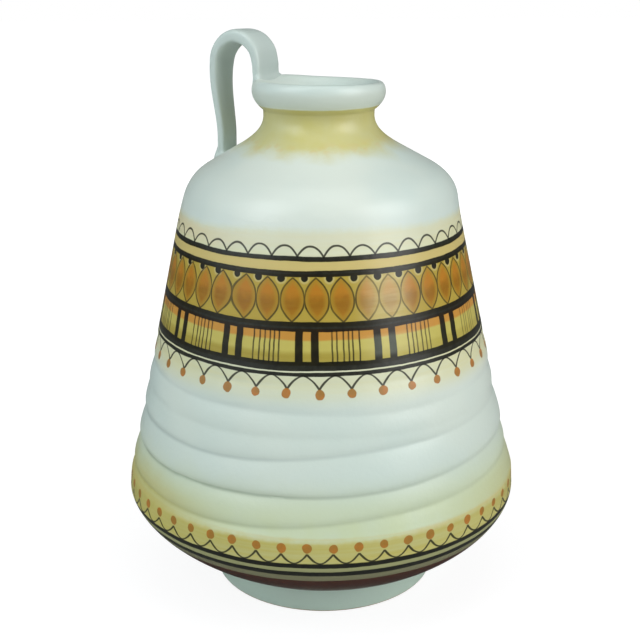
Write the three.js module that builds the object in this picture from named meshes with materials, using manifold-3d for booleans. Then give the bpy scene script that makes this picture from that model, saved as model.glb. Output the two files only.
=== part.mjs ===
// Hand-thrown ceramic jug vase with a pulled strap handle.
// Millimetres, +Z up. The origin is at the centre of the foot, on the surface that the jug stands on.
// The jug is made the way a potter builds it: a turned foot ring, a lower bowl, a ribbed conical wall,
// a neck collar and a rolled rim are luted together at flat seams, and a strap handle joins rim and shoulder.
import * as THREE from "three";
import { mergeVertices } from "three/addons/utils/BufferGeometryUtils.js";
import Module from "manifold-3d";

// Foot ring
const footRadius = 62;
const footHeight = 14;
const footRingWidth = 9;
const footChamfer = 1.5;

// Lower bowl, from the foot up to the belly's widest line
const bellyRadius = 107.8;
const bowlDepth = 43;
const floorThickness = 7;
const floorCornerInset = 4;
const bowlReach = 36.4;
const bowlLift = 16.7;
const bellySwell = 1.7;
const bellyFullness = 7.2;

// Conical wall, from the belly's widest line up to the shoulder
const wallHeight = 158.7;
const wallThickness = 6.5;
const shoulderRadius = 72.8;
const ribRise = 1.3;
// Heights of the grooves between the throwing ribs above the widest line, from the lowest to the highest
const grooveHeights = [18.5, 32.5, 49.5, 59, 71.5, 82];
const bellyRoll = 0.6;

// Neck collar: a rounded shoulder, a straight slope and a flared neck
const shoulderDrop = 16.3;
const shoulderKneeRadius = 70.5;
const shoulderKneeRise = 10.5;
const slopeTopRadius = 60.2;
const slopeRise = 10.3;
const neckFlareRadius = 42;
const neckRadius = 29;
const neckRise = 15.7;
const neckWall = 5.5;

// Rolled rim
const rimRadius = 34.8;
const rimRise = 17;
const rimRollMiddle = 12;
const rimCreaseRadius = 29.2;
const rimCreaseRise = 2.8;
const rimFullness = 5.6;
const rimLipRadius = 27.2;
const rimLipDrop = 3;

// Strap handle. It lies in one upright plane through the axis, turned away from the front
const handleAzimuthDegrees = 150;
const handleRimInset = 2.2;
const handleLoopWidth = 27.5;
const handleRise = 25;
const handleFootInset = 1.8;
const handleFootHeight = 18;
const handleLegBow = 0.7;
const handleThicknessTop = 7.2;
const handleThicknessLeg = 5;
const handleWidthTop = 21;
const handleWidthLow = 13.8;
const handleRimFlare = 3;
const handleFootFlare = 6;
const handleSeatDepth = 5;
const handleEdgeRoundness = 0.42;

const seamGap = 0.3;
const roundSegments = 48;
const handleSteps = 40;
const handleSides = 16;

// Heights that follow from the sections
const bellyHeight = footHeight + bowlDepth;
const shoulderHeight = bellyHeight + wallHeight;
const slopeFootHeight = shoulderHeight + shoulderDrop;
const flareHeight = slopeFootHeight + slopeRise;
const neckHeight = flareHeight + neckRise;
const rimHeight = neckHeight + rimRise;
const handleTopHeight = rimHeight + handleRise;

const wasm = await Module();
wasm.setup();

const paleGlaze = new THREE.MeshStandardMaterial({ color: 0xd5dcd6, roughness: 0.32, metalness: 0 });
const paintedGlaze = new THREE.MeshStandardMaterial({ color: 0xcdb67c, roughness: 0.32, metalness: 0 });
const footGlaze = new THREE.MeshStandardMaterial({ color: 0xcfcfc4, roughness: 0.45, metalness: 0 });

const point = (radius, height) => new THREE.Vector2(radius, height);

// A closed profile turned round the axis. It runs anticlockwise, seen with the axis on its left.
function turned(profile) {
  return new THREE.LatheGeometry([...profile, profile[0].clone()], roundSegments).rotateX(Math.PI / 2);
}

// A line of profile points moved into the clay by a distance, or out of it by a negative one
function insideOf(points, distance) {
  return points.map((p, i) => {
    const before = points[Math.max(i - 1, 0)];
    const after = points[Math.min(i + 1, points.length - 1)];
    const along = after.clone().sub(before).normalize();
    return point(p.x - along.y * distance, p.y + along.x * distance);
  });
}

function solidOf(geometry) {
  const bare = geometry.index ? geometry.toNonIndexed() : geometry.clone();
  const positions = new THREE.BufferGeometry().setAttribute("position", bare.getAttribute("position"));
  const merged = mergeVertices(positions, 1e-4);
  return new wasm.Manifold(
    new wasm.Mesh({
      numProp: 3,
      vertProperties: merged.attributes.position.array,
      triVerts: new Uint32Array(merged.index.array),
    }),
  );
}

function geometryOf(solid) {
  const mesh = solid.getMesh();
  const geometry = new THREE.BufferGeometry();
  geometry.setAttribute("position", new THREE.BufferAttribute(mesh.vertProperties, 3));
  geometry.setIndex(new THREE.BufferAttribute(mesh.triVerts, 1));
  geometry.computeVertexNormals();
  return geometry;
}

// Outer line of the bowl, from the foot ring to the belly's widest line
function bowlLine() {
  const curve = new THREE.CubicBezierCurve(
    point(footRadius, footHeight),
    point(footRadius + bowlReach, footHeight + bowlLift),
    point(bellyRadius + bellySwell, bellyHeight - bellyFullness),
    point(bellyRadius, bellyHeight),
  );
  return curve.getPoints(10);
}

// Outer radius of the straight cone between the belly and the shoulder
function coneRadius(height) {
  return bellyRadius + ((shoulderRadius - bellyRadius) * (height - bellyHeight)) / wallHeight;
}

// The wall swells between two grooves and runs straight above the last one
function wallLine() {
  const stepsPerRib = 3;
  const grooves = grooveHeights
    .map((height) => bellyHeight + height)
    .filter((height) => height < shoulderHeight);
  const points = [point(bellyRadius, bellyHeight)];
  for (const share of [1 / 3, 2 / 3]) {
    const height = bellyHeight + (grooves[0] - bellyHeight) * share;
    points.push(point(coneRadius(height) + bellyRoll, height));
  }
  for (let i = 0; i + 1 < grooves.length; i++) {
    for (let step = 0; step < stepsPerRib; step++) {
      const share = step / stepsPerRib;
      const height = grooves[i] + (grooves[i + 1] - grooves[i]) * share;
      points.push(point(coneRadius(height) + ribRise * Math.sin(Math.PI * share) ** 0.8, height));
    }
  }
  const last = grooves[grooves.length - 1];
  points.push(point(coneRadius(last), last));
  points.push(point(shoulderRadius, shoulderHeight));
  return points;
}

// Outer line of the collar: rounded shoulder, slope, flared neck
function collarLine() {
  const shoulder = new THREE.QuadraticBezierCurve(
    point(shoulderRadius, shoulderHeight),
    point(shoulderKneeRadius, shoulderHeight + shoulderKneeRise),
    point(slopeTopRadius, slopeFootHeight),
  );
  const neck = new THREE.QuadraticBezierCurve(
    point(neckFlareRadius, flareHeight),
    point(neckRadius, (flareHeight + neckHeight) / 2),
    point(neckRadius, neckHeight),
  );
  return [...shoulder.getPoints(6), ...neck.getPoints(6)];
}

// Outer line of the rolled rim, over its crown and down to the lip
function rimLine() {
  const middle = neckHeight + rimRollMiddle;
  const crease = point(rimCreaseRadius, neckHeight + rimCreaseRise);
  const side = new THREE.CubicBezierCurve(
    crease,
    point(rimCreaseRadius + (rimRadius - rimCreaseRadius) / 3, crease.y + rimFullness / 4),
    point(rimRadius, middle - rimFullness * 0.8),
    point(rimRadius, middle),
  );
  const crown = new THREE.CubicBezierCurve(
    point(rimRadius, middle),
    point(rimRadius, middle + rimFullness),
    point((rimRadius + rimLipRadius) / 2, rimHeight + 2),
    point(rimLipRadius, rimHeight - rimLipDrop),
  );
  return [point(neckRadius, neckHeight), ...side.getPoints(5), ...crown.getPoints(7).slice(1)];
}

function footRing() {
  const innerRadius = footRadius - footRingWidth;
  return turned([
    point(innerRadius + footChamfer, 0),
    point(footRadius - footChamfer, 0),
    point(footRadius, footChamfer),
    point(footRadius, footHeight),
    point(innerRadius, footHeight),
    point(innerRadius, footChamfer),
  ]);
}

function lowerBowl() {
  const floorHeight = footHeight + floorThickness;
  const betweenSeams = (p) => p.y > floorHeight + 1 && p.y < bellyHeight - 1;
  const inner = insideOf(bowlLine(), wallThickness).filter(betweenSeams);
  inner.push(point(bellyRadius - wallThickness, bellyHeight));
  const profile = [
    point(0, footHeight),
    ...bowlLine(),
    ...inner.reverse(),
    point(footRadius - floorCornerInset, floorHeight),
    point(0, floorHeight),
  ];
  return new THREE.LatheGeometry(profile, roundSegments).rotateX(Math.PI / 2);
}

function conicalWall() {
  return turned([
    point(bellyRadius - wallThickness, bellyHeight),
    ...wallLine(),
    point(shoulderRadius - wallThickness, shoulderHeight),
  ]);
}

function neckCollar() {
  const outer = collarLine();
  const inner = insideOf(outer, neckWall);
  inner[0] = point(shoulderRadius - wallThickness, shoulderHeight);
  inner[inner.length - 1] = point(neckRadius - neckWall, neckHeight);
  return turned([...outer, ...inner.reverse()]);
}

function rolledRim() {
  return turned([
    ...rimLine(),
    point(neckRadius - neckWall, neckHeight + rimRollMiddle - 4),
    point(neckRadius - neckWall, neckHeight),
  ]);
}

// The jug's upper part without a handle, grown by the seam's gap: the handle's ends are cut to fit it
function handleSeat() {
  const line = insideOf([...collarLine(), ...rimLine().slice(1)], -seamGap);
  const profile = [point(0, line[0].y), ...line, point(0, line[line.length - 1].y)];
  return solidOf(new THREE.LatheGeometry(profile, roundSegments).rotateX(Math.PI / 2));
}

// Middle line of the strap in its own upright plane: x is the distance from the axis, y the height
function strapLine() {
  const rimLeg = rimRadius - handleRimInset;
  const outerLeg = rimLeg + handleLoopWidth;
  const footLeg = slopeTopRadius - handleFootInset;
  const loopRadius = handleLoopWidth / 2;
  const bend = handleTopHeight - handleThicknessTop / 2 - loopRadius;
  const points = [
    new THREE.Vector3(rimLeg - 0.6, rimHeight - handleSeatDepth, 0),
    new THREE.Vector3(rimLeg - 0.2, (rimHeight + bend) / 2, 0),
  ];
  const turns = 6;
  for (let i = 0; i <= turns; i++) {
    const angle = Math.PI * (1 - i / turns);
    const reach = rimLeg + loopRadius * (1 + Math.cos(angle));
    points.push(new THREE.Vector3(reach, bend + loopRadius * Math.sin(angle), 0));
  }
  points.push(new THREE.Vector3(outerLeg + handleLegBow, rimHeight - handleSeatDepth, 0));
  points.push(new THREE.Vector3(footLeg + 0.2, slopeFootHeight + handleFootHeight, 0));
  points.push(new THREE.Vector3(footLeg, slopeFootHeight + handleFootHeight / 2, 0));
  points.push(new THREE.Vector3(footLeg + 1, slopeFootHeight - handleSeatDepth, 0));
  return new THREE.CatmullRomCurve3(points, false, "centripetal");
}

// The strap's width and thickness along its length, with a flare at each end
function strapSize(share) {
  const nearRim = Math.exp(-((share / 0.08) ** 2));
  const nearFoot = Math.exp(-(((1 - share) / 0.11) ** 2));
  const overTop = Math.exp(-(((share - 0.33) / 0.16) ** 2));
  const taper = THREE.MathUtils.smoothstep(share, 0.3, 0.85);
  const width = handleWidthTop + (handleWidthLow - handleWidthTop) * taper;
  const thickness = handleThicknessLeg + (handleThicknessTop - handleThicknessLeg) * overTop;
  return {
    width: width + handleRimFlare * nearRim + handleFootFlare * nearFoot,
    thickness: thickness + nearRim + (handleFootFlare * nearFoot) / 2,
  };
}

function strapHandle() {
  const line = strapLine();
  const across = new THREE.Vector3(0, 0, 1);
  const rounded = (value) => Math.sign(value) * Math.abs(value) ** handleEdgeRoundness;
  const positions = [];
  const index = [];
  for (let i = 0; i <= handleSteps; i++) {
    const middle = line.getPointAt(i / handleSteps);
    const outwards = new THREE.Vector3().crossVectors(line.getTangentAt(i / handleSteps), across).normalize();
    const { width, thickness } = strapSize(i / handleSteps);
    for (let j = 0; j < handleSides; j++) {
      const angle = (2 * Math.PI * j) / handleSides;
      const p = middle
        .clone()
        .addScaledVector(across, (rounded(Math.cos(angle)) * width) / 2)
        .addScaledVector(outwards, (rounded(Math.sin(angle)) * thickness) / 2);
      positions.push(p.x, p.y, p.z);
    }
  }
  for (let i = 0; i < handleSteps; i++) {
    for (let j = 0; j < handleSides; j++) {
      const a = i * handleSides + j;
      const b = i * handleSides + ((j + 1) % handleSides);
      index.push(a, b, a + handleSides, b, b + handleSides, a + handleSides);
    }
  }
  const lastRing = handleSteps * handleSides;
  for (let j = 1; j + 1 < handleSides; j++) {
    index.push(0, j + 1, j);
    index.push(lastRing, lastRing + j, lastRing + j + 1);
  }
  const geometry = new THREE.BufferGeometry();
  geometry.setAttribute("position", new THREE.Float32BufferAttribute(positions, 3));
  geometry.setIndex(index);
  geometry.rotateX(Math.PI / 2);
  geometry.rotateZ(THREE.MathUtils.degToRad(handleAzimuthDegrees));
  return geometryOf(solidOf(geometry).subtract(handleSeat()));
}

function piece(name, geometry, material) {
  const mesh = new THREE.Mesh(geometry, material);
  mesh.name = name;
  return mesh;
}

const jug = new THREE.Group();
jug.add(piece("foot_ring", footRing(), footGlaze));
jug.add(piece("lower_bowl", lowerBowl(), paintedGlaze));
jug.add(piece("conical_wall", conicalWall(), paintedGlaze));
jug.add(piece("neck_collar", neckCollar(), paleGlaze));
jug.add(piece("rolled_rim", rolledRim(), paleGlaze));
jug.add(piece("strap_handle", strapHandle(), paleGlaze));

export default jug;
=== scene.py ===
import math

import bmesh
import bpy
import numpy as np
from mathutils import Matrix, Vector


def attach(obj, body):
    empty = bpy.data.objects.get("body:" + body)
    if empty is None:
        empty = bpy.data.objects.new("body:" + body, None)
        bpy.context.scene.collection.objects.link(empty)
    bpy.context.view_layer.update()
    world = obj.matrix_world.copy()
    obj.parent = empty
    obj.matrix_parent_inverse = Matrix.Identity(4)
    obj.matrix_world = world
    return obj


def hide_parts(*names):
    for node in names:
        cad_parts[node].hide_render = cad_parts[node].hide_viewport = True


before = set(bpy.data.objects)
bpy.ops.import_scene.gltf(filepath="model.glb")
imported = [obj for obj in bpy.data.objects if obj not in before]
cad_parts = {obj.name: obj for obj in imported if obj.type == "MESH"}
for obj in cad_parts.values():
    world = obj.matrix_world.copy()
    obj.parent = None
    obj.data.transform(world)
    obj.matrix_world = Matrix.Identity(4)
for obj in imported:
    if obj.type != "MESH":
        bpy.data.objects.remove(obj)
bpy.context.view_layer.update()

# Hand-painted jug vase. Lengths are written in millimetres and made at 0.001, +Z up.
mm = 0.001
turns = 2 * math.pi
around = 288  # steps of every turned piece, so that their seams share points


# Small helpers for modelling


def onlyActive(piece):
    if bpy.context.mode != "OBJECT":
        bpy.ops.object.mode_set(mode="OBJECT")
    bpy.ops.object.select_all(action="DESELECT")
    piece.select_set(True)
    bpy.context.view_layer.objects.active = piece


def bezier(a, b, c, d, steps):
    points = []
    for i in range(steps + 1):
        t = i / steps
        weights = ((1 - t) ** 3, 3 * (1 - t) ** 2 * t, 3 * (1 - t) * t * t, t ** 3)
        points.append(tuple(sum(w * p[k] for w, p in zip(weights, (a, b, c, d))) for k in (0, 1)))
    return points


def inwards(points, wall):
    moved = []
    for i, p in enumerate(points):
        before, after = points[max(i - 1, 0)], points[min(i + 1, len(points) - 1)]
        alongR, alongZ = after[0] - before[0], after[1] - before[1]
        length = math.hypot(alongR, alongZ)
        moved.append((p[0] - alongZ / length * wall, p[1] + alongR / length * wall))
    return moved


# The profile is drawn point by point, like a turning rib, and spun round the axis
def spinPiece(name, profile, onAxis=False):
    bpy.ops.object.select_all(action="DESELECT")
    bpy.ops.mesh.primitive_plane_add(size=mm, location=(0, 0, 0))
    piece = bpy.context.object
    piece.name = name
    bpy.ops.object.mode_set(mode="EDIT")
    bpy.ops.mesh.select_all(action="SELECT")
    bpy.ops.mesh.merge(type="CENTER")
    bpy.ops.transform.translate(value=(profile[0][0] * mm, 0, profile[0][1] * mm))
    for p, q in zip(profile, profile[1:]):
        step = ((q[0] - p[0]) * mm, 0, (q[1] - p[1]) * mm)
        bpy.ops.mesh.extrude_vertices_move(TRANSFORM_OT_translate={"value": step})
    if not onAxis:
        line = bmesh.from_edit_mesh(piece.data)
        bpy.ops.mesh.select_all(action="DESELECT")
        line.verts.ensure_lookup_table()
        line.verts[0].select = True
        line.verts[len(line.verts) - 1].select = True
        bmesh.update_edit_mesh(piece.data)
        bpy.ops.mesh.edge_face_add()
    bpy.ops.mesh.select_all(action="SELECT")
    bpy.ops.mesh.spin(steps=around, angle=turns, center=(0, 0, 0), axis=(0, 0, 1))
    bpy.ops.mesh.select_all(action="SELECT")
    bpy.ops.mesh.remove_doubles(threshold=1e-6)
    bpy.ops.mesh.normals_make_consistent(inside=False)
    bpy.ops.object.mode_set(mode="OBJECT")
    return piece


def meshPoints(piece):
    flat = np.empty(len(piece.data.vertices) * 3)
    piece.data.vertices.foreach_get("co", flat)
    return flat.reshape(-1, 3) / mm


def setPoints(piece, points):
    piece.data.vertices.foreach_set("co", (points * mm).ravel())
    piece.data.update()


# The thrown shape

foot = {"radius": 62, "height": 14, "width": 9, "round": 1.4}
belly = {"radius": 107.8, "height": 57, "wall": 6.5, "floor": 7, "reach": 36.4, "lift": 16.7,
         "swell": 1.7, "fullness": 7.2}
wall = {"topRadius": 72.8, "topHeight": 215.7, "rib": 1.25, "fadeLow": 12, "fadeHigh": 40,
        "fullness": 1.6, "fullStart": 8, "fullBelow": 150, "fullEnd": 45, "steps": 158,
        "climbEven": 0.5, "climbOnce": 0.55, "climbThrice": 0.065, "waver": 0.35}
# Height at the left, climb to the right, where it climbs, depth, fade above and below, pooled glaze and
# painted shade in the groove
grooves = [
    (69.6, 9.5, 10, 1.3, 1.5, 6.5, 0.7),
    (85.2, 6.2, 22, 1.9, 1.5, 6.5, 0.85),
    (101.2, 8.8, 2, 1.4, 2.2, 7.5, 0.35),
    (114.8, -0.8, 0, 1.0, 3.2, 26.0, 0.0),
    (128.2, -2.8, -25, 1.2, 3.2, 9.0, 0.1),
    (139.6, 0.6, 0, 0.6, 3.0, 6.0, 0.0),
]
collar = {"slopeRadius": 60.2, "slopeHeight": 232, "flareRadius": 42, "flareHeight": 242.3,
          "neckRadius": 29, "neckHeight": 258, "wall": 5.5}
rim = {"radius": 34.8, "top": 275, "middle": 270, "crease": 29.2, "creaseHeight": 260.8,
       "fullness": 5.6, "lip": 27.2, "lipDrop": 3, "higherFront": 0.027, "higherLeft": 0.021,
       "humps": ((128, 28, 1.2), (15, 25, 0.3)),  # angle, width in degrees and height
       "humpsEnd": 287, "humpsFade": 9}
offAxis = {"foot": 2.2, "footTop": 55, "footFade": 30, "stand": 0.8,
           "shoulder": 0.9, "shoulderHeight": 222, "shoulderFade": 11}  # to the right


def coneRadius(z):
    share = (z - belly["height"]) / (wall["topHeight"] - belly["height"])
    return belly["radius"] + (wall["topRadius"] - belly["radius"]) * share


def bowlLine(steps=44):
    return bezier((foot["radius"], foot["height"]),
                  (foot["radius"] + belly["reach"], foot["height"] + belly["lift"]),
                  (belly["radius"] + belly["swell"], belly["height"] - belly["fullness"]),
                  (belly["radius"], belly["height"]), steps)


def collarLine():
    shoulder = bezier((wall["topRadius"], wall["topHeight"]),
                      (wall["topRadius"] - 1.55, wall["topHeight"] + 7),
                      (collar["slopeRadius"] + 6.9, collar["slopeHeight"] - 3.9),
                      (collar["slopeRadius"], collar["slopeHeight"]), 16)
    slope = [(collar["slopeRadius"] + (collar["flareRadius"] - collar["slopeRadius"]) * t,
              collar["slopeHeight"] + (collar["flareHeight"] - collar["slopeHeight"]) * t)
             for t in (0.15, 0.3, 0.45, 0.6, 0.75, 0.9)]
    neck = bezier((collar["flareRadius"], collar["flareHeight"]),
                  (collar["neckRadius"] + 4.3, collar["flareHeight"] + 5.2),
                  (collar["neckRadius"], collar["neckHeight"] - 6),
                  (collar["neckRadius"], collar["neckHeight"]), 18)
    return shoulder + slope + neck


def rimLine():
    crease = (rim["crease"], rim["creaseHeight"])
    widest = (rim["radius"], rim["middle"])
    lip = (rim["lip"], rim["top"] - rim["lipDrop"])
    side = bezier(crease, (crease[0] + (rim["radius"] - crease[0]) / 3, crease[1] + rim["fullness"] / 4),
                  (rim["radius"], rim["middle"] - rim["fullness"] * 0.8), widest, 14)
    crown = bezier(widest, (rim["radius"], rim["middle"] + rim["fullness"]),
                   ((rim["radius"] + rim["lip"]) / 2, rim["top"] + 2), lip, 18)
    neck = [(collar["neckRadius"], collar["neckHeight"]),
            (collar["neckRadius"] + 0.05, collar["neckHeight"] + 1.6)]
    return neck + side + crown[1:]


# Each course of the wall swells downwards and is cut in sharply above the groove under it.
# Most grooves climb to the right, as the potter's hand moved up, and they are deepest at the left.
def ribHeight(z, angle):
    rise = np.zeros_like(z)
    front = angle + math.pi / 2
    for height, climb, where, depth, above, below, poolAndShade in grooves:
        leaning = front - math.radians(where)
        share = wall["climbEven"] + wall["climbOnce"] * np.sin(leaning)
        share = share + wall["climbThrice"] * np.sin(3 * leaning)
        line = height + climb * share + wall["waver"] * np.sin(5 * front + height)
        strength = 0.82 - 0.3 * np.sin(front) + 0.4 * np.clip(np.sin(front), 0, 1) ** 6
        strength = depth * (strength + 0.1 * np.sin(3 * front + height))
        away = z - line
        soft = np.sqrt(away * away + 0.3) - 0.3
        rise -= strength * wall["rib"] * np.where(away > 0, np.exp(-soft / above), np.exp(-soft / below))
    return rise


# Only the outer skin of the wall gets the ribs, and it is a little full in its lower half
def throwRibs(piece):
    points = meshPoints(piece)
    radius = np.hypot(points[:, 0], points[:, 1])
    angle = np.arctan2(points[:, 1], points[:, 0])
    z = points[:, 2]
    cone = coneRadius(z)
    outer = (radius > cone - 2) & (z > belly["height"] + 0.1) & (z < wall["topHeight"] - 0.1)
    fade = np.clip((z - belly["height"]) / wall["fadeLow"], 0, 1)
    fade = fade * np.clip((wall["topHeight"] - z) / wall["fadeHigh"], 0, 1)
    full = wall["fullness"] * np.clip((z - belly["height"]) / wall["fullStart"], 0, 1)
    full = full * np.clip((wall["fullBelow"] - z) / wall["fullEnd"], 0, 1)
    newRadius = radius + np.where(outer, full + fade * ribHeight(z, angle), 0)
    points[:, 0] *= newRadius / radius
    points[:, 1] *= newRadius / radius
    setPoints(piece, points)


# The foot and the shoulder sit a little off the axis, and the rim is higher at the front and the left
def swing(piece):
    points = meshPoints(piece)
    x, y, z = points.T
    low = offAxis["foot"] * np.clip((offAxis["footTop"] - z) / offAxis["footFade"], 0, 1)
    low = low - offAxis["stand"] * np.clip((foot["height"] - z) / foot["height"], 0, 1)
    away = (z - offAxis["shoulderHeight"]) / offAxis["shoulderFade"]
    shoulder = offAxis["shoulder"] * np.exp(-(away ** 2))
    high = np.clip((z - collar["neckHeight"]) / (rim["top"] - collar["neckHeight"]), 0, 1)
    ending = np.clip((rim["humpsEnd"] - z) / rim["humpsFade"], 0, 1)
    uneven = np.zeros_like(z)
    for angle, width, height in rim["humps"]:
        away = (np.degrees(np.arctan2(y, x)) - angle + 180) % 360 - 180
        uneven += height * np.exp(-((away / width) ** 2)) * high ** 2 * ending
    points[:, 0] = x + low + shoulder
    points[:, 2] = z + high * (-rim["higherFront"] * y - rim["higherLeft"] * x) + uneven
    setPoints(piece, points)


def roundedFoot():
    outer, inner, r = foot["radius"], foot["radius"] - foot["width"], foot["round"]
    outside = bezier((outer - r, 0), (outer - r * 0.45, 0), (outer, r * 0.45), (outer, r), 6)
    inside = bezier((inner, r), (inner, r * 0.45), (inner + r * 0.45, 0), (inner + r, 0), 6)
    side = [(outer, r + (foot["height"] - r) * t) for t in (0.2, 0.4, 0.6, 0.8, 1)]
    return outside + side + [(inner, foot["height"])] + inside


def bowlProfile():
    outer = bowlLine()
    floorTop = foot["height"] + belly["floor"]
    inner = [p for p in inwards(outer, belly["wall"]) if floorTop + 3 < p[1] < belly["height"] - 0.6]
    inner.append((belly["radius"] - belly["wall"], belly["height"]))
    corner = bezier((foot["radius"] - 14, floorTop), (foot["radius"] - 5, floorTop),
                    (inner[0][0] - 3, inner[0][1] - 1.6), inner[0], 8)
    floor = [(foot["radius"] * t, floorTop) for t in (0, 0.25, 0.5)]
    under = [(foot["radius"] * t, foot["height"]) for t in (0, 0.4, 0.8)]
    return under + outer + inner[::-1] + corner[::-1][1:] + floor[::-1]


def wallProfile():
    steps = wall["steps"]
    rise = wall["topHeight"] - belly["height"]
    heights = [belly["height"] + rise * i / steps for i in range(steps + 1)]
    outer = [(coneRadius(z), z) for z in heights]
    inner = [(r - belly["wall"], z) for r, z in outer[::12]]
    if inner[-1][1] != outer[-1][1]:
        inner.append((outer[-1][0] - belly["wall"], outer[-1][1]))
    return outer + inner[::-1]


def collarProfile():
    outer = collarLine()
    inner = inwards(outer, collar["wall"])
    inner[0] = (wall["topRadius"] - belly["wall"], wall["topHeight"])
    inner[-1] = (collar["neckRadius"] - collar["wall"], collar["neckHeight"])
    return outer + inner[::-1]


def rimProfile():
    bore = collar["neckRadius"] - collar["wall"]
    inner = bezier((rim["lip"], rim["top"] - rim["lipDrop"]), (rim["lip"] - 1.4, rim["top"] - 6),
                   (bore, rim["middle"] - 1), (bore, rim["middle"] - 5), 8)
    return rimLine() + inner[1:] + [(bore, collar["neckHeight"])]


print("turning the pot")
footRing = spinPiece("footRing", roundedFoot())
lowerBowl = spinPiece("lowerBowl", bowlProfile(), onAxis=True)
ribbedWall = spinPiece("ribbedWall", wallProfile())
neckCollar = spinPiece("neckCollar", collarProfile())
rolledRim = spinPiece("rolledRim", rimProfile())
throwRibs(ribbedWall)
for turned in (footRing, lowerBowl, ribbedWall, neckCollar, rolledRim):
    swing(turned)

# The pulled strap handle

strap = {
    "azimuth": 150, "rimInset": 2.2, "loop": 27.5, "top": 300, "footInset": 1.8, "footRise": 18,
    "thickTop": 7.2, "thickLeg": 5.0, "wideTop": 21, "wideLow": 13.8, "seat": 5,
    "bow": 0.7, "edge": 0.42, "drawnIn": 0.6, "filletTop": 2.4, "filletLow": 2.2, "flareLow": 7.5,
    "filletEase": 0.4, "clayDepth": 2.5, "setBack": 1.6, "rings": 130, "sides": 48,
    "taperFrom": 0.3, "taperOver": 0.55, "topAt": 0.29, "topOver": 0.135,  # shares of its length
}


def strapPath():
    rimLeg = rim["radius"] - strap["rimInset"]
    footLeg = collar["slopeRadius"] - strap["footInset"]
    loop = strap["loop"] / 2
    bend = strap["top"] - strap["thickTop"] / 2 - loop
    points = [(rimLeg - 0.6, rim["top"] - strap["seat"]), (rimLeg - 0.2, (rim["top"] + bend) / 2)]
    for i in range(7):
        angle = math.pi * (1 - i / 6)
        drawn = strap["drawnIn"] * max(math.sin(2 * angle), 0)  # the loop is flatter on the way down
        reach = rimLeg + loop * (1 + math.cos(angle)) - drawn
        points.append((reach, bend + loop * math.sin(angle) - drawn / 2))
    points.append((rimLeg + strap["loop"] + strap["bow"], rim["top"] - strap["seat"]))
    points.append((footLeg + 0.2, collar["slopeHeight"] + strap["footRise"]))
    points.append((footLeg, collar["slopeHeight"] + strap["footRise"] / 2))
    points.append((footLeg + 1, collar["slopeHeight"] - strap["seat"]))
    return points


def smoothLine(points, count):
    # a Catmull-Rom line through the points, walked in even steps
    fine = []
    padded = [points[0]] + points + [points[-1]]
    for i in range(1, len(padded) - 2):
        a, b, c, d = (np.array(padded[k], float) for k in (i - 1, i, i + 1, i + 2))
        for t in np.linspace(0, 1, 24, endpoint=False):
            fine.append(0.5 * (2 * b + (c - a) * t + (2 * a - 5 * b + 4 * c - d) * t * t
                               + (3 * b - a - 3 * c + d) * t ** 3))
    fine.append(np.array(points[-1], float))
    fine = np.array(fine)
    length = np.concatenate([[0], np.cumsum(np.linalg.norm(np.diff(fine, axis=0), axis=1))])
    even = np.linspace(0, length[-1], count)
    return np.stack([np.interp(even, length, fine[:, k]) for k in (0, 1)], 1)


# How far points lie outside the collar and rim, and which way is out, in the plane through the axis
def potDistance(radius, z):
    line = np.array(collarLine() + rimLine()[1:])
    line = np.vstack([line, (rim["lip"] - 2.5, rim["top"] - rim["lipDrop"] - 7)])
    start, along = line[:-1], np.diff(line, axis=0)
    point = np.stack([radius, z], -1)[:, None, :]
    t = np.clip(((point - start) * along).sum(-1) / (along ** 2).sum(-1), 0, 1)
    gap = point - start - t[..., None] * along
    distance = np.linalg.norm(gap, axis=-1)
    best = distance.argmin(1)
    rows = np.arange(len(best))
    facing = np.stack([along[:, 1], -along[:, 0]], 1) / np.linalg.norm(along, axis=1)[:, None]
    side = np.sign((gap[rows, best] * facing[best]).sum(-1))
    outwards = gap[rows, best] / np.maximum(distance[rows, best], 1e-9)[:, None] * side[:, None]
    outwards = np.where(distance[rows, best][:, None] < 0.05, facing[best], outwards)
    return distance[rows, best] * np.where(side == 0, 1, side), outwards


# Both ends spread into the clay they are pressed on: points near the pot move sideways out of the strap
# and are then set back to the distance from the pot that they had
def spreadEnds(radial, across, z, cosine, sine, width, thick, tangent, share):
    reach, _ = potDistance(np.hypot(radial, across), z)
    outer = np.clip(-sine, 0, 1)
    onShoulder = strap["filletLow"] + strap["flareLow"] * outer ** 2
    onRim = strap["filletTop"] - strap["filletEase"] * outer
    fillet = np.where(share < 0.5, onRim, onShoulder)
    inClay = np.clip(1 + reach / strap["clayDepth"], 0, 1)
    lift = np.clip(fillet - np.clip(reach, 0, None), 0, None)
    spread = (fillet - np.sqrt(np.clip(fillet ** 2 - lift ** 2, 0, None))) * inClay
    size = np.hypot(cosine / width, sine / thick)
    across = across + cosine / width / size * spread
    push = sine / thick / size * spread
    radial = radial + tangent[:, 1] * push
    z = z - tangent[:, 0] * push
    moved, outwards = potDistance(np.hypot(radial, across), z)
    back = (reach - moved) * np.clip(spread / fillet * strap["setBack"], 0, 1)
    distance = np.hypot(radial, across)
    radial = radial + outwards[:, 0] * back * radial / distance
    across = across + outwards[:, 0] * back * across / distance
    return radial, across, z + outwards[:, 1] * back


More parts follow.
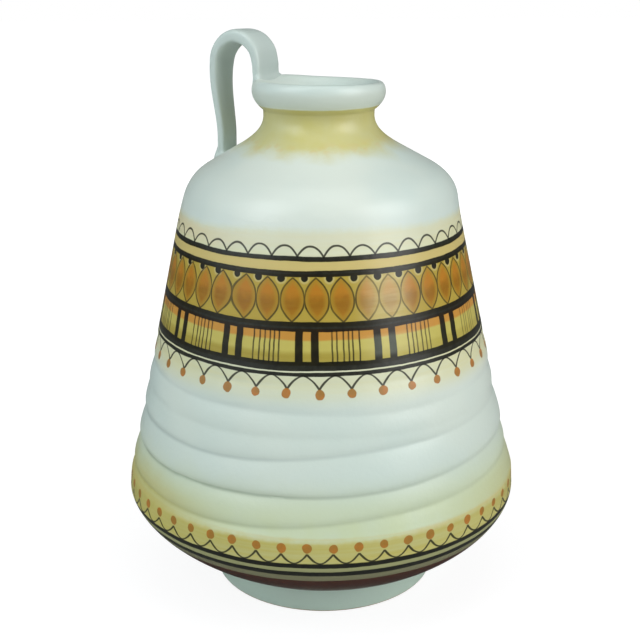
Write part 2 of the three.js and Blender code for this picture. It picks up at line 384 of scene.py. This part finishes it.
def pullHandle():
    path = smoothLine(strapPath(), strap["rings"])
    direction = np.gradient(path, axis=0)
    direction /= np.linalg.norm(direction, axis=1)[:, None]
    bpy.ops.object.select_all(action="DESELECT")
    bpy.ops.mesh.primitive_circle_add(vertices=strap["sides"], radius=mm, fill_type="NGON")
    piece = bpy.context.object
    piece.name = "strapHandle"
    bpy.ops.object.mode_set(mode="EDIT")
    bpy.ops.mesh.select_all(action="SELECT")
    for i in range(1, strap["rings"]):
        bpy.ops.mesh.extrude_region_move(TRANSFORM_OT_translate={"value": (0, 0, mm)})
    bpy.ops.object.mode_set(mode="OBJECT")
    # the straight bar is pulled along the strap's line, ring by ring
    bar = meshPoints(piece)
    ring = np.clip(np.rint(bar[:, 2]).astype(int), 0, strap["rings"] - 1)
    share = ring / (strap["rings"] - 1)
    angle = np.arctan2(bar[:, 1], bar[:, 0])
    cosine, sine = np.cos(angle), np.sin(angle)
    ease = np.clip((share - strap["taperFrom"]) / strap["taperOver"], 0, 1)
    taper = ease * ease * (3 - 2 * ease)
    overTop = np.exp(-(((share - strap["topAt"]) / strap["topOver"]) ** 2))
    width = strap["wideTop"] + (strap["wideLow"] - strap["wideTop"]) * taper
    thick = strap["thickLeg"] + (strap["thickTop"] - strap["thickLeg"]) * overTop
    across = np.sign(cosine) * np.abs(cosine) ** strap["edge"] * width / 2
    outward = np.sign(sine) * np.abs(sine) ** strap["edge"] * thick / 2
    tangent = direction[ring]
    radial = path[ring, 0] + tangent[:, 1] * outward
    z = path[ring, 1] - tangent[:, 0] * outward
    radial, across, z = spreadEnds(radial, across, z, cosine, sine, width, thick, tangent, share)
    turn = math.radians(strap["azimuth"])
    points = np.stack([radial * math.cos(turn) - across * math.sin(turn),
                       radial * math.sin(turn) + across * math.cos(turn), z], 1)
    setPoints(piece, points)
    onlyActive(piece)
    bpy.ops.object.mode_set(mode="EDIT")
    bpy.ops.mesh.select_all(action="SELECT")
    bpy.ops.mesh.normals_make_consistent(inside=False)
    bpy.ops.object.mode_set(mode="OBJECT")
    swing(piece)
    return piece


print("pulling the handle")
strapHandle = pullHandle()

# Glazes and painting


class Wire:
    def __init__(self, paint, socket):
        self.paint = paint
        self.socket = socket

    def output(self, number):
        return Wire(self.paint, self.socket.node.outputs[number])

    def __add__(self, other):
        return self.paint.maths("ADD", self, other)

    def __radd__(self, other):
        return self.paint.maths("ADD", other, self)

    def __sub__(self, other):
        return self.paint.maths("SUBTRACT", self, other)

    def __rsub__(self, other):
        return self.paint.maths("SUBTRACT", other, self)

    def __mul__(self, other):
        return self.paint.maths("MULTIPLY", self, other)

    def __rmul__(self, other):
        return self.paint.maths("MULTIPLY", other, self)

    def __truediv__(self, other):
        return self.paint.maths("DIVIDE", self, other)

    def __rtruediv__(self, other):
        return self.paint.maths("DIVIDE", other, self)

    def __pow__(self, other):
        return self.paint.maths("POWER", self, other)

    def __abs__(self):
        return self.paint.maths("ABSOLUTE", self)

    def __neg__(self):
        return self.paint.maths("MULTIPLY", self, -1)


class Paint:
    def __init__(self, name):
        self.material = bpy.data.materials.new(name)
        self.material.use_nodes = True
        self.tree = self.material.node_tree
        self.tree.nodes.clear()

    def node(self, kind, settings, inputs, output=0):
        made = self.tree.nodes.new(kind)
        for key, value in settings.items():
            setattr(made, key, value)
        for key, value in inputs.items():
            if isinstance(value, Wire):
                self.tree.links.new(value.socket, made.inputs[key])
            else:
                made.inputs[key].default_value = value
        return Wire(self, made.outputs[output]) if len(made.outputs) else None

    def maths(self, operation, *values):
        return self.node("ShaderNodeMath", {"operation": operation}, dict(enumerate(values)))

    def mix(self, mask, under, over):
        return self.node("ShaderNodeMix", {"data_type": "RGBA"}, {0: mask, 6: under, 7: over}, 2)

    def step(self, value, low, high):
        return self.node("ShaderNodeMapRange", {"interpolation_type": "SMOOTHSTEP"},
                         {0: value, 1: low, 2: high, 3: 0, 4: 1})

    def band(self, value, low, high, soft=0.14):
        return self.step(value, low - soft, low + soft) * self.step(value, high + soft, high - soft)

    def noise(self, vector, scale, detail=2.0, roughness=0.5):
        return self.node("ShaderNodeTexNoise", {}, {"Vector": vector, "Scale": scale, "Detail": detail,
                                                    "Roughness": roughness})

    def stretched(self, vector, factors):
        return self.node("ShaderNodeVectorMath", {"operation": "MULTIPLY"}, {0: vector, 1: factors})

    def chance(self, number, seed):
        return self.node("ShaderNodeTexWhiteNoise", {"noise_dimensions": "1D"}, {"W": number + seed})

    def larger(self, a, b):
        return self.maths("MAXIMUM", a, b)

    def smaller(self, a, b):
        return self.maths("MINIMUM", a, b)


def srgb(r, g, b):
    linear = [(c / 255 / 12.92) if c <= 10 else ((c / 255 + 0.055) / 1.055) ** 2.4 for c in (r, g, b)]
    return (*linear, 1)


glazes = {
    "white": srgb(219, 227, 216),
    "cloud": srgb(203, 218, 211),
    "ink": srgb(8, 11, 6),
    "fineInk": srgb(30, 29, 14),
    # painted highlight: the sheen on the ink of one pair of bars
    "inkSheenTint": srgb(168, 180, 164),
    # darker white low on the pot: partly the glaze's tone, partly painted shade
    "lowWhiteAndShade": srgb(198, 213, 203),
    "rim": srgb(202, 212, 200),
    # pooled glaze in the grooves, darkened further as painted shade
    "poolAndShade": srgb(146, 164, 158),
    "neckYellow": srgb(203, 196, 122),
    # painted shade under the rolled rim
    "shadeUnderRim": srgb(182, 174, 102),
    "neckOchre": srgb(210, 184, 112),
    "peach": srgb(224, 204, 160),
    "paleYellow": srgb(216, 212, 160),
    "greenYellow": srgb(196, 206, 150),
    "ribbon": srgb(204, 185, 116),
    "leafGround": srgb(178, 155, 62),
    "leafGold": srgb(168, 131, 36),
    "leafOrange": srgb(184, 118, 24),
    "leafBrown": srgb(167, 110, 16),
    "leafOlive": srgb(149, 98, 8),
    # painted highlight: the sheen on two leaves
    "leafSheenTint": srgb(218, 206, 152),
    "panelOrange": srgb(198, 142, 58),
    "panelYellow": srgb(194, 182, 92),
    "panelOlive": srgb(166, 148, 58),
    # painted highlight: the sheen on the panel
    "panelSheenTint": srgb(216, 208, 140),
    "dot": srgb(180, 109, 24),
    "dotShade": srgb(159, 107, 26),
    "skirt": srgb(190, 180, 94),
    "gap": srgb(160, 162, 112),
    "greyOlive": srgb(131, 130, 96),
    "brown": srgb(78, 34, 10),
    "foot": srgb(204, 228, 210),
    "handle": srgb(196, 210, 204),
    "clay": srgb(196, 178, 150),
    "insideWhite": srgb(192, 206, 199),
}


# Heights between which each wash sets in or ends, and how softly where a third number stands
# the low white is partly painted shade, and the band just under the rim is painted shade
washes = {
    "lowWhiteAndShade": (175, 75), "greenYellow": (100, 72), "sideSkirt": (86, 68), "skirt": (68.5, 63.5),
    "skirtLine": (65.3, 67.4, 0.7), "gap": (55, 54), "greyOlive": (46.6, 46.3), "brown": (42.2, 41.6),
    "paleYellow": (215.2, 210.2), "paleYellowEnd": (127, 140), "peach": (204, 211, 1.8),
    "neckYellow": (238.5, 247.2), "neckOchre": (243, 247, 2.5), "shadeUnderRim": (253, 262),
    "neckEnd": (264.2, 263.2), "rim": (263.6, 264.6), "rimEnd": (273.5, 269),
}
bands = {
    "ribbon": (193, 199), "leafGround": (168, 192.5), "panel": (149.5, 167),
    "black": ((198.1, 200.6), (191.1, 193.9), (165.5, 170.1), (147.22, 151.4), (144.6, 146.48),
              (52.0, 54.7), (46.2, 49.4)),
}
# Each row of figures: how many stand round the pot, how far the row is turned, in figures, and the
# radius at which their widths are true. Places round the pot are shares of a turn from the front
leafRow = {"count": 42, "shift": 0.6015, "radius": 81.6, "middle": 180.4, "half": 10.3,
           "share": 0.485, "point": 2.2, "ink": (170.0, 191), "sheenPlace": (0.042, 0.086, 0.014)}
beadRow = {"shift": 0.1015, "height": 190.4, "size": 1.75}
panelRow = {"count": 14, "shift": 0.169, "radius": 86, "orange": (160.9, 162.1), "olive": (157.2, 154.6),
            "bar": 3.85, "barHalf": 1.9, "linesStart": 10.7, "firstLine": 12.02, "lineGap": 2.65,
            "linesMiddle": 18.65, "linesHalf": 8.0, "ink": (150.5, 166.5), "wornAndSheen": (0.042, 0.088, 0.014)}
scallopRow = {"count": 38, "shift": 0.852, "radius": 76, "height": 200.5, "rise": 4.5, "uneven": 0.9,
              "point": 2.2}
upperDrops = {"count": 36, "shift": 0.54, "radius": 91, "tip": 138.2, "foot": 144.9,
              "drop": 136.1, "size": 2.35, "stretch": 0.95, "seed": 2.2}
lowerDrops = {"count": 53, "shift": 0.06, "radius": 107.6, "tip": 59.8, "foot": 54.9,
              "drop": 62.8, "size": 2.35, "stretch": 1.02, "seed": 8.1}
sheen = {"roughness": 0.29, "uneven": 0.1, "bump": 0.2, "depth": 0.0005, "ior": 1.5, "level": 0.56}


def finishGlaze(paint, colour, grain):
    bump = paint.node("ShaderNodeBump", {}, {
        "Strength": sheen["bump"], "Distance": sheen["depth"], "Height": grain})
    shader = paint.node("ShaderNodeBsdfPrincipled", {}, {
        "Base Color": colour, "Roughness": sheen["roughness"] + grain * sheen["uneven"],
        "Normal": bump, "IOR": sheen["ior"], "Specular IOR Level": sheen["level"]})
    paint.node("ShaderNodeOutputMaterial", {}, {"Surface": shader})
    return paint.material


def glazeBase(paint):
    objectPlace = paint.node("ShaderNodeTexCoord", {}, {}, "Object")
    place = paint.stretched(objectPlace, (1000, 1000, 1000))
    cloud = paint.noise(place, 0.012, 3)
    grain = paint.noise(place, 0.35, 3, 0.6)
    colour = paint.mix(paint.step(cloud, 0.35, 0.7), glazes["white"], glazes["cloud"])
    return place, colour, grain


def paintedGlaze():
    paint = Paint("paintedGlaze")
    place, colour, grain = glazeBase(paint)
    split = paint.node("ShaderNodeSeparateXYZ", {}, {0: place})
    x, y, z = split.output(0), split.output(1), split.output(2)
    turn = paint.maths("ARCTAN2", x, -y) / turns
    brush = paint.noise(paint.stretched(place, (0.012, 0.012, 0.55)), 1.0, 3)
    blotch = paint.noise(place, 0.07, 3)
    patch = paint.noise(place, 0.2, 2)
    wander = paint.noise(paint.stretched(place, (0.03, 0.03, 0.12)), 1.0, 2) - 0.5
    shake = paint.noise(place, 0.25, 2) - 0.5
    height = z + wander * 1.5 + shake * 0.35

    def cell(count, shift):
        along = turn * count + shift
        number = paint.maths("FLOOR", along)
        return along - number - 0.5, paint.maths("FLOORED_MODULO", number, count)

    def lay(mask, tint):
        nonlocal colour
        colour = paint.mix(mask, colour, tint)

    # washes under the drawing, with painted shade and painted light among them
    # darker white towards the bottom: partly the glaze's tone, partly painted shade
    lay(paint.step(height, *washes["lowWhiteAndShade"]) * 0.65, glazes["lowWhiteAndShade"])
    # pooled glaze along the grooves, with painted shade there, strongest at the left
    for low, climb, where, depth, above, below, poolAndShade in grooves:
        if poolAndShade == 0:
            continue
        leaning = turn * turns - math.radians(where)
        share = paint.maths("SINE", leaning) * wall["climbOnce"]
        share = share + paint.maths("SINE", leaning * 3) * wall["climbThrice"] + wall["climbEven"]
        line = share * climb + low + paint.maths("SINE", turn * (5 * turns) + low) * wall["waver"]
        strength = 0.5 - paint.maths("SINE", turn * turns) * 0.45
        poolAndShadeLine = paint.step(abs(z - line), 1.5, 0.15)
        lay(poolAndShadeLine * strength * poolAndShade * (0.7 + brush * 0.6), glazes["poolAndShade"])
    facing = paint.maths("SQRT", x * x + y * y)
    neckLow = height + (blotch - 0.5) * 7
    onNeck = paint.step(height, *washes["neckEnd"]) * paint.step(facing, 26, 28)
    # painted light: the neck's yellow and its shade under the rim are paler at the left, where the light
    # falls
    paintedLightLeft = 1 - paint.step(x, -8, -24) * 0.12
    yellow = paint.step(neckLow, *washes["neckYellow"]) * onNeck
    lay(yellow * (0.68 + blotch * 0.45) * paintedLightLeft, glazes["neckYellow"])
    ochre = paint.band(neckLow, *washes["neckOchre"]) * paint.step(patch, 0.46, 0.62)
    lay(ochre * 0.28, glazes["neckOchre"])
    # painted shade under the rolled rim
    lay(paint.step(height, *washes["shadeUnderRim"]) * onNeck * 0.5 * paintedLightLeft, glazes["shadeUnderRim"])
    wash = brush * 0.5 + 0.2 + paint.step(abs(x), 40, 78) * 0.22 + paint.step(height, 208, 200) * 0.15
    low = height + shake * 2 + paint.step(abs(x), 20, 60) * 1.9
    yellow = paint.step(low, *washes["paleYellow"]) * paint.step(height, *washes["paleYellowEnd"])
    lay(yellow * wash, glazes["paleYellow"])
    lay(paint.band(low, *washes["peach"]) * (0.12 + paint.step(x, -25, -66) * 0.3), glazes["peach"])
    greenish = paint.step(height + (blotch - 0.5) * 12, *washes["greenYellow"])
    lay(greenish * (0.35 + blotch * 0.5), glazes["greenYellow"])
    sides = paint.step(x, -35, -95) * 0.95 + paint.step(x, 50, 105) * 0.45
    skirt = paint.step(height + (blotch - 0.5) * 8, *washes["sideSkirt"]) * sides
    lay(skirt * (0.6 + brush * 0.4), glazes["skirt"])
    skirt = paint.step(height + (patch - 0.5) * 3, *washes["skirt"])
    lay(skirt * (0.45 + brush * 0.8), glazes["skirt"])
    streak = paint.band(height, *washes["skirtLine"]) * paint.step(brush, 0.42, 0.6)
    lay(streak * 0.35, glazes["ribbon"])
    lay(paint.step(height, *washes["gap"]), glazes["gap"])

    onRim = paint.step(height, *washes["rim"]) * paint.step(height, *washes["rimEnd"])
    lay(onRim * paint.step(facing, 29, 32), glazes["rim"])

    # ribbon, leaf ground and striped panel
    lay(paint.band(height, *bands["ribbon"]), glazes["ribbon"])
    lay(paint.band(height, *bands["leafGround"]), glazes["leafGround"])
    orange = paint.step(height, *panelRow["orange"])
    panel = paint.mix(orange, glazes["panelYellow"], glazes["panelOrange"])
    shaded = paint.step(height, *panelRow["olive"]) * (0.35 + brush) * (1 - paint.step(x, 5, 40) * 0.5)
    panel = paint.mix(shaded, panel, glazes["panelOlive"])
    lay(paint.band(height, *bands["panel"]), panel)
    # painted highlight: a paler patch over one pair of bars where the sheen falls
    wornAndSheen = paint.band(turn, *panelRow["wornAndSheen"]) * paint.band(height, 153, 162.5, 1.5)
    lay(wornAndSheen * 0.3, glazes["panelSheenTint"])

    # pointed leaves, each filled with one loaded stroke
    leafWidth = turns * leafRow["radius"] / leafRow["count"]
    wider = paint.step(turn, -0.076, -0.1) * paint.step(turn, -0.42, -0.3) * 0.27
    inside, number = cell(leafRow["count"], wider + leafRow["shift"])
    lean = paint.chance(number, 3.3) - 0.5
    up = (height - leafRow["middle"]) / leafRow["half"]
    side = inside + lean * 0.06 + up * lean * 0.07
    edge = (abs(side) - (1 - abs(up) ** leafRow["point"]) * leafRow["share"]) * leafWidth
    edge = edge / paint.maths("SQRT", up * up * 1.5 + 1)
    inBand = paint.band(height, *leafRow["ink"])
    stroke = paint.noise(paint.stretched(place, (0.06, 0.06, 0.6)), 1.0, 2)
    heart = paint.step(edge, -0.5, -3.3) * (0.62 + stroke * 0.6)
    tone = paint.mix(paint.step(up, 0.1, -0.4), glazes["leafOrange"], glazes["leafBrown"])
    middle = abs(up + 0.22 + (patch - 0.5) * 0.6)
    tone = paint.mix(paint.step(middle, 0.62, 0.05), tone, glazes["leafOlive"])
    leaf = paint.mix(heart, glazes["leafGold"], tone)
    lay(paint.step(edge, 0.05, -0.2) * inBand * 0.95, leaf)
    # painted highlight: two leaves and their outlines paler where the sheen falls
    leafSheen = paint.band(turn, *leafRow["sheenPlace"]) * paint.band(height, 169, 192)
    lay(leafSheen * (0.14 + stroke * 0.42), glazes["leafSheenTint"])
    outline = paint.step(abs(edge), 0.55, 0.28) * inBand
    fineInk = outline * (0.6 + patch * 0.5) * (1 - leafSheen * 0.3)

    # beads between the leaf tips
    inside, number = cell(leafRow["count"], beadRow["shift"])
    beadSide = (inside + (paint.chance(number, 9.1) - 0.5) * 0.06) * leafWidth
    bead = paint.maths("SQRT", beadSide ** 2 + (height - beadRow["height"]) ** 2)
    bead = bead - paint.chance(number, 7.7) * 0.5 - beadRow["size"]
    lay(paint.step(bead, 1.4, 0.3) * paint.step(height, 191.4, 190.8) * 0.34, glazes["paleYellow"])
    ink = paint.step(bead, 0.15, -0.15)

    # panel stripes: two broad bars, then six thin lines
    spread = paint.larger(paint.maths("SINE", turn * turns), 0) ** 3
    along = turn * panelRow["count"] + panelRow["shift"] - spread * 0.15
    number = paint.maths("FLOOR", along)
    panelWidth = turns * panelRow["radius"] / panelRow["count"]
    run = (along - number) * panelWidth + wander * 0.8
    pair = paint.smaller(run, panelWidth - run)
    inPanel = paint.band(height, *panelRow["ink"])
    bars = paint.step(abs(pair - panelRow["bar"]) - panelRow["barHalf"], 0.16, -0.16) * inPanel
    whichLine = paint.maths("FLOOR", (run - panelRow["linesStart"]) / panelRow["lineGap"])
    whichPanel = paint.maths("FLOORED_MODULO", number, panelRow["count"])
    jitter = (paint.chance(whichLine + whichPanel * 7, 1.9) - 0.5) * 0.9
    thin = abs(run - panelRow["firstLine"] - whichLine * panelRow["lineGap"] - jitter)
    half = panelRow["linesHalf"]
    between = paint.step(abs(run - panelRow["linesMiddle"]), half, half - 0.1)
    thin = paint.step(thin, 0.55, 0.25) * between * inPanel
    thin = thin * (1 - paint.step(x, 38, 70) * 0.35)
    fineInk = paint.larger(fineInk, thin * (0.6 + patch * 0.6))
    ink = paint.larger(ink, bars)

    # scallops over the bands
    inside, number = cell(scallopRow["count"], scallopRow["shift"])
    reach = abs(inside) * 2
    lift = paint.chance(number, 5.1) * scallopRow["uneven"] + scallopRow["rise"]
    point = scallopRow["point"]
    drop = reach ** point * lift
    steep = point * 2 * scallopRow["count"] / (turns * scallopRow["radius"])
    slope = reach ** (point - 1) * lift * steep
    scallop = abs(height - scallopRow["height"] - lift + drop)
    scallop = scallop / paint.maths("SQRT", slope * slope + 1)
    scallop = paint.step(scallop, 0.62, 0.34) * paint.step(height, 199, 200)

    # hanging arcs with drops, above and below the ribs
    def drops(row):
        inside, number = cell(row["count"], row["shift"])
        cellWidth = turns * row["radius"] / row["count"]
        tilt = paint.chance(number, row["seed"]) - 0.5
        reach = (0.5 - abs(inside)) * 2
        tall = row["tip"] - row["foot"]
        line = row["foot"] + tall * reach ** 1.8
        slope = reach ** 0.8 * (abs(tall) * 3.6 / cellWidth)
        arcs = abs(height - line) / paint.maths("SQRT", slope * slope + 1)
        thick = 0.26 + paint.step(inside, -0.3, 0.1) * paint.step(inside, 0.4, 0.1) * 0.16
        arcs = paint.step(arcs, thick + 0.32, thick)
        sideways = inside * cellWidth + tilt * 0.6
        upright = (height - row["drop"] - tilt * 0.5) / row["stretch"]
        dot = paint.maths("SQRT", sideways ** 2 + upright ** 2)
        ragged = row["size"] + (paint.chance(number, row["seed"] + 4.4) - 0.5) * 0.4 + shake * 1.2
        return arcs, paint.step(dot - ragged, 0.16, -0.16)

    upperArcs, upperDots = drops(upperDrops)
    lowerArcs, lowerDots = drops(lowerDrops)
    upperArcs = upperArcs * paint.band(height, 138, 146)
    lowerArcs = lowerArcs * paint.band(height, 53.5, 60)
    dots = paint.larger(upperDots, lowerDots)
    fineInk = paint.larger(paint.larger(fineInk, scallop), paint.larger(upperArcs, lowerArcs))
    lay(fineInk * 0.92, glazes["fineInk"])
    lay(dots * 0.93, paint.mix(paint.step(patch, 0.35, 0.6), glazes["dot"], glazes["dotShade"]))

    # straight bands
    lay(paint.step(height, *washes["greyOlive"]), glazes["greyOlive"])
    lay(paint.step(height, *washes["brown"]), glazes["brown"])
    lay(paint.step(facing, 61.6, 61.2) * paint.step(z, 15, 14.5), glazes["clay"])
    for low, high in bands["black"]:
        ink = paint.larger(ink, paint.band(height, low, high))
    lay(ink * (0.94 + grain * 0.06), glazes["ink"])
    # painted highlight: greyer ink on the same pair of bars, where the sheen falls
    lay(wornAndSheen * bars * 0.16, glazes["inkSheenTint"])
    return finishGlaze(paint, colour, grain)


def plainGlaze(name, tint, share, bareBelow=None):
    paint = Paint(name)
    place, colour, grain = glazeBase(paint)
    colour = paint.mix(share, colour, tint)
    if bareBelow is not None:
        z = paint.node("ShaderNodeSeparateXYZ", {}, {0: place}).output(2)
        wornAndSheen = paint.step(z + (grain - 0.5) * 0.8, bareBelow + 0.3, bareBelow - 0.3)
        colour = paint.mix(wornAndSheen, colour, glazes["clay"])
    return finishGlaze(paint, colour, grain)


print("mixing the glazes")
painted = paintedGlaze()
pale = plainGlaze("paleGlaze", glazes["handle"], 0.8)
footPaint = plainGlaze("footGlaze", glazes["foot"], 0.75, 1.0)
inner = plainGlaze("innerGlaze", glazes["insideWhite"], 0.8)


# The inside faces are those whose normals point to the axis
def dress(piece, outside, inside=None):
    piece.data.materials.clear()
    piece.data.materials.append(outside)
    if inside:
        piece.data.materials.append(inside)
        for face in piece.data.polygons:
            middle = face.center
            if face.normal.x * middle.x + face.normal.y * middle.y < -1e-6 * abs(middle.length):
                face.material_index = 1
    onlyActive(piece)
    bpy.ops.object.shade_smooth_by_angle(angle=math.radians(50))


dress(footRing, footPaint)
dress(lowerBowl, painted, inner)
dress(ribbedWall, painted, inner)
dress(neckCollar, painted, inner)
dress(rolledRim, painted)
dress(strapHandle, pale)

for piece, node, slot in (
    (footRing, "foot_ring", "foot_glaze"),
    (lowerBowl, "lower_bowl", "painted_glaze"),
    (ribbedWall, "conical_wall", "painted_glaze"),
    (neckCollar, "neck_collar", "pale_glaze"),
    (rolledRim, "rolled_rim", "pale_glaze"),
    (strapHandle, "strap_handle", "pale_glaze"),
):
    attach(piece, "root")
    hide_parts(node)

# Stage, light and camera

print("setting the stage")


# The paper is white to the camera and keeps the shadow. In the glaze it mirrors dark, so that the
# black bands stay black
stage = {"paper": (0.8, 0.8, 0.8, 1), "mirrored": (0.18, 0.18, 0.18, 1), "glow": 1.4, "glowShare": 0.72,
         "nearPot": (0.86, 0.86, 0.86, 1), "far": (1, 1, 1, 1), "from": 0.14, "to": 0.4}


def stageMaterial():
    paint = Paint("stagePaper")
    seen = paint.node("ShaderNodeLightPath", {}, {}, "Is Camera Ray")
    mirrored = paint.node("ShaderNodeLightPath", {}, {}, "Is Glossy Ray")
    grey = paint.mix(mirrored, stage["paper"], stage["mirrored"])
    soft = paint.node("ShaderNodeBsdfDiffuse", {}, {"Color": grey})
    place = paint.node("ShaderNodeTexCoord", {}, {}, "Object")
    away = paint.node("ShaderNodeVectorMath", {"operation": "LENGTH"}, {0: place}, "Value")
    glowing = paint.mix(paint.step(away, stage["from"], stage["to"]), stage["nearPot"], stage["far"])
    glow = paint.node("ShaderNodeEmission", {}, {"Color": glowing, "Strength": stage["glow"]})
    mixed = paint.node("ShaderNodeMixShader", {}, {0: seen * stage["glowShare"], 1: soft, 2: glow})
    paint.node("ShaderNodeOutputMaterial", {}, {"Surface": mixed})
    return paint.material


bpy.ops.object.select_all(action="DESELECT")
bpy.ops.mesh.primitive_plane_add(size=12, location=(0, 0, -0.0002))
paper = bpy.context.object
paper.name = "paperFloor"
paper.data.materials.append(stageMaterial())


# Soft boxes as for a catalogue picture, the right one the strongest: place, height that it is aimed at,
# width, height, watts and tint. The one at the back fills the shade and leaves no shine on the shoulder
lamps = {
    "rightSoftbox": ((1.12, -0.7, 0.8), 0.15, 0.95, 1.1, 12.8, (1, 1, 1)),
    "leftSoftbox": ((-1.0, -0.85, 1.1), 0.15, 0.7, 1.2, 9.9, (0.9, 0.965, 1)),
    "sideSoftbox": ((-1.4, -0.3, 0.75), 0.15, 1.0, 1.0, 2.9, (0.82, 0.94, 1)),
    "topSoftbox": ((0, -0.3, 1.6), 0.1, 1.2, 1.2, 4.3, (1, 1, 1)),
    "backSoftbox": ((0.15, 1.4, 0.3), 0.15, 1.4, 0.5, 4.5, (1, 1, 1)),
}


def softbox(name, place, aim, width, height, power, tint):
    bpy.ops.object.light_add(type="AREA", location=place)
    lamp = bpy.context.object
    lamp.name = name
    lamp.data.shape = "RECTANGLE"
    lamp.data.size = width
    lamp.data.size_y = height
    lamp.data.energy = power
    lamp.data.color = tint
    lamp.rotation_euler = (Vector((0, 0, aim)) - Vector(place)).to_track_quat("-Z", "Y").to_euler()
    return lamp


for name, setting in lamps.items():
    lamp = softbox(name, *setting)
    lamp.visible_glossy = name != "backSoftbox"

# The room is white to the camera, lights the pot evenly and shines less than it lights
room = {"tint": (0.93, 0.97, 1.0, 1), "strength": 0.25, "shine": 0.04}
world = bpy.data.worlds.new("studioRoom")
world.use_nodes = True
tree = world.node_tree
tree.nodes.clear()
rays = tree.nodes.new("ShaderNodeLightPath")
seen = tree.nodes.new("ShaderNodeBackground")
seen.inputs[0].default_value = (1, 1, 1, 1)
lit = tree.nodes.new("ShaderNodeBackground")
lit.inputs[0].default_value = room["tint"]
dim = tree.nodes.new("ShaderNodeMapRange")
dim.inputs[3].default_value = room["strength"]
dim.inputs[4].default_value = room["shine"]
tree.links.new(rays.outputs["Is Glossy Ray"], dim.inputs[0])
tree.links.new(dim.outputs[0], lit.inputs[1])
both = tree.nodes.new("ShaderNodeMixShader")
out = tree.nodes.new("ShaderNodeOutputWorld")
tree.links.new(rays.outputs["Is Camera Ray"], both.inputs[0])
tree.links.new(lit.outputs[0], both.inputs[1])
tree.links.new(seen.outputs[0], both.inputs[2])
tree.links.new(both.outputs[0], out.inputs[0])
bpy.context.scene.world = world

view = {"place": (-0.0001, -0.6048, 0.3361), "down": 17.52, "roll": 0.366, "lens": 64.69}
bpy.ops.object.camera_add(location=view["place"])
camera = bpy.context.object
camera.name = "photoCamera"
camera.data.lens = view["lens"]
camera.data.sensor_width = 36
tilt = Matrix.Rotation(math.radians(90 - view["down"]), 3, "X")
camera.rotation_euler = (tilt @ Matrix.Rotation(math.radians(-view["roll"]), 3, "Z")).to_euler()
bpy.context.scene.camera = camera
bpy.context.scene.view_settings.view_transform = "Standard"
